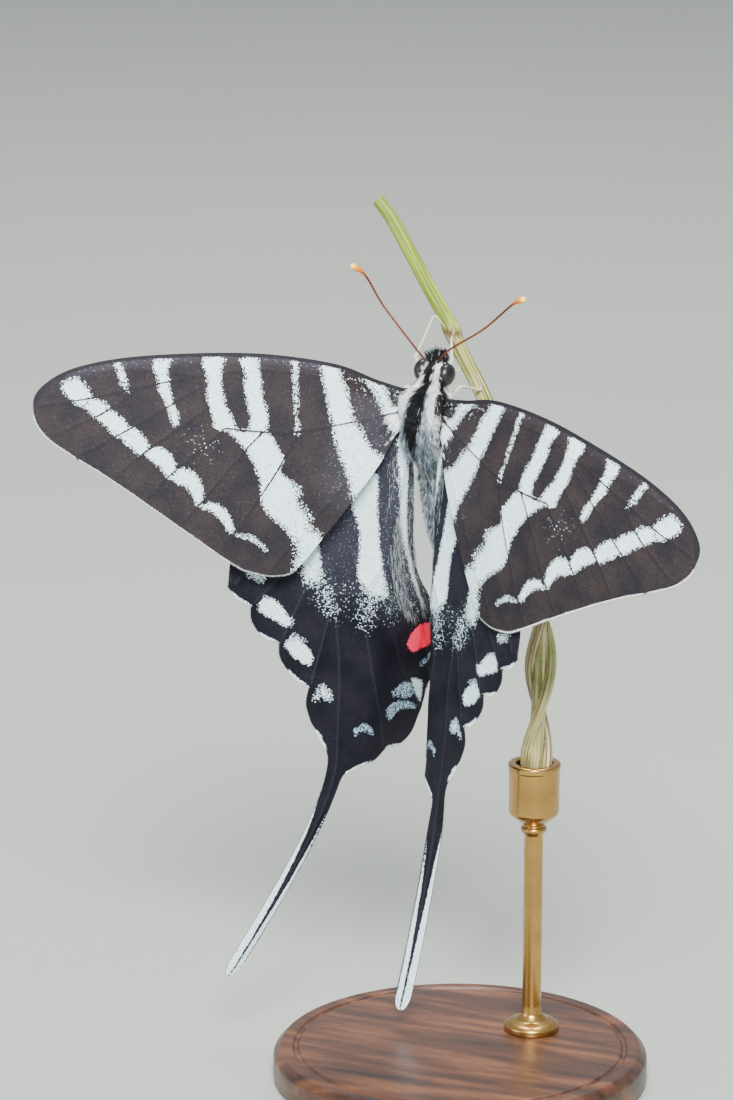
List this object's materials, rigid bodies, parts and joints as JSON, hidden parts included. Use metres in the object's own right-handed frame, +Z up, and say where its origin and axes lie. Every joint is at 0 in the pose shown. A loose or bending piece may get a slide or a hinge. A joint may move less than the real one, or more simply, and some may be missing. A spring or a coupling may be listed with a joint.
{
  "type": "zebra swallowtail butterfly model",
  "caption": "Swallowtail butterfly with striped, open wings and long slender tails, gripping a cut length of twining vine on a small turned stand.",
  "frame": {"origin": "centre of the stand base's underside", "axes": "+Z up; the butterfly's head is up, its back faces -Y and its right wing is on the +X side"},
  "size_m": [0.0772, 0.0457, 0.1018],
  "materials": {
    "body_pile": "blue-grey hair with black and white stripes",
    "eye_lens": "glossy black",
    "antenna_horn": "satin russet with an orange club",
    "leg_scales": "pale scales",
    "forewing_scales": "brown-black scales with bluish white bands",
    "hindwing_scales": "blue-black scales with white spots and a red spot",
    "vine_bark": "green-tan, finely grooved",
    "stand_wood": "dark, turned and oiled",
    "stand_brass": "turned and lacquered"
  },
  "bodies": {
    "root": {"head": "body_pile", "thorax": "body_pile", "abdomen": "body_pile", "eye_left": "eye_lens", "eye_right": "eye_lens", "antenna_left": "antenna_horn", "antenna_right": "antenna_horn", "proboscis": "antenna_horn", "leg_fore_left": "leg_scales", "leg_fore_right": "leg_scales", "leg_mid_left": "leg_scales", "leg_mid_right": "leg_scales", "leg_hind_left": "leg_scales", "leg_hind_right": "leg_scales", "forewing_left": "forewing_scales", "forewing_right": "forewing_scales", "hindwing_left": "hindwing_scales", "hindwing_right": "hindwing_scales", "perch_stem": "vine_bark", "stand_base": "stand_wood", "stand_rod": "stand_brass"}
  },
  "joints": []
}
